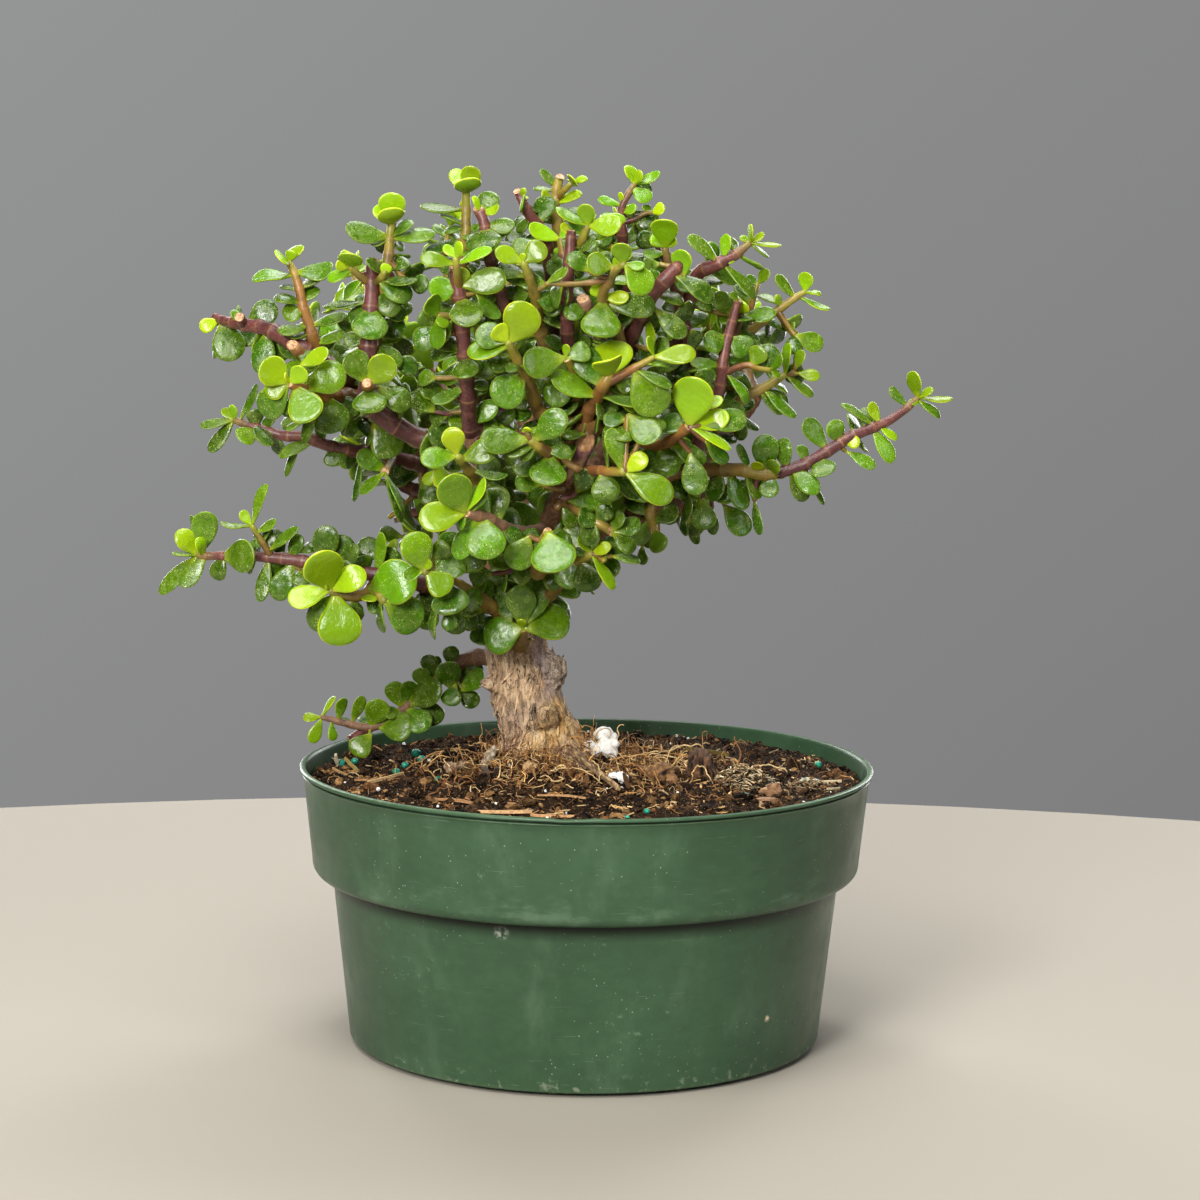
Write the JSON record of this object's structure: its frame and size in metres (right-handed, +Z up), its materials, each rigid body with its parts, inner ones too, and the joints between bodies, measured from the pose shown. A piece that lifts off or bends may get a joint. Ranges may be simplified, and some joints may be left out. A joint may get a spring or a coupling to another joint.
{
  "type": "bonsai tree",
  "caption": "Dwarf jade bonsai with a gnarled leaning trunk, spreading shoots of small fleshy round leaves, and soil in a round green plastic nursery pot.",
  "frame": {"origin": "centre of the pot's flat foot, on the surface it stands on", "axes": "+Z up; +Y points away from the plant's show side, so the plant is looked at along +Y with +X to the right"},
  "size_m": [0.2733, 0.203, 0.3075],
  "materials": {
    "pot_plastic": "dark green moulded plastic, semi-gloss, lightly scuffed",
    "soil": "dark crumbly potting mix with bark and fibre",
    "perlite": "matte white porous granule",
    "bark": "grey-tan flaky bark",
    "litter_wood": "weathered brown wood and bark",
    "moss": "dry olive-brown moss and straw",
    "foliage": "fleshy waxy leaves, soft gloss, on purple-brown and olive stems"
  },
  "bodies": {
    "root": {"pot": "pot_plastic", "soil": "soil", "perlite_large": "perlite", "perlite_small": "perlite", "wood_chunk": "litter_wood", "bark_chip": "litter_wood", "moss_clump": "moss", "twig_grey": "litter_wood", "trunk": "bark", "shoot_upper_left": "foliage", "shoot_left_arching": "foliage", "shoot_left_rosette": "foliage", "shoot_left_pruned": "foliage", "shoot_top_left_tall": "foliage", "shoot_top_olive": "foliage", "shoot_top_purple": "foliage", "shoot_top_small": "foliage", "shoot_centre_purple": "foliage", "shoot_centre_upper": "foliage", "shoot_centre_rosette": "foliage", "shoot_top_twig": "foliage", "shoot_top_cut": "foliage", "shoot_top_right_olive": "foliage", "shoot_right_inner": "foliage", "shoot_top_right_pink": "foliage", "shoot_right_cup": "foliage", "shoot_right_pruned": "foliage", "shoot_right_pink": "foliage", "shoot_front_orange": "foliage", "shoot_front_middle": "foliage", "shoot_front_oval": "foliage", "shoot_front_bud": "foliage", "shoot_front_side_twig": "foliage", "shoot_front_left": "foliage", "shoot_low_front": "foliage", "shoot_low_front_left": "foliage", "shoot_low_front_right": "foliage", "shoot_trunk_front": "foliage", "shoot_right_rosette": "foliage", "shoot_right_upper": "foliage", "shoot_right_purple": "foliage", "shoot_right_olive": "foliage", "branch_right_long": "foliage", "branch_left_middle": "foliage", "branch_left_low": "foliage", "branch_left_trailing": "foliage", "shoot_back_01": "foliage", "shoot_back_02": "foliage", "shoot_back_03": "foliage", "shoot_back_04": "foliage", "shoot_back_05": "foliage", "shoot_back_06": "foliage", "shoot_back_07": "foliage", "shoot_back_08": "foliage", "shoot_back_09": "foliage", "shoot_back_10": "foliage", "shoot_back_11": "foliage", "shoot_back_12": "foliage", "shoot_back_13": "foliage", "shoot_back_14": "foliage"}
  },
  "joints": []
}
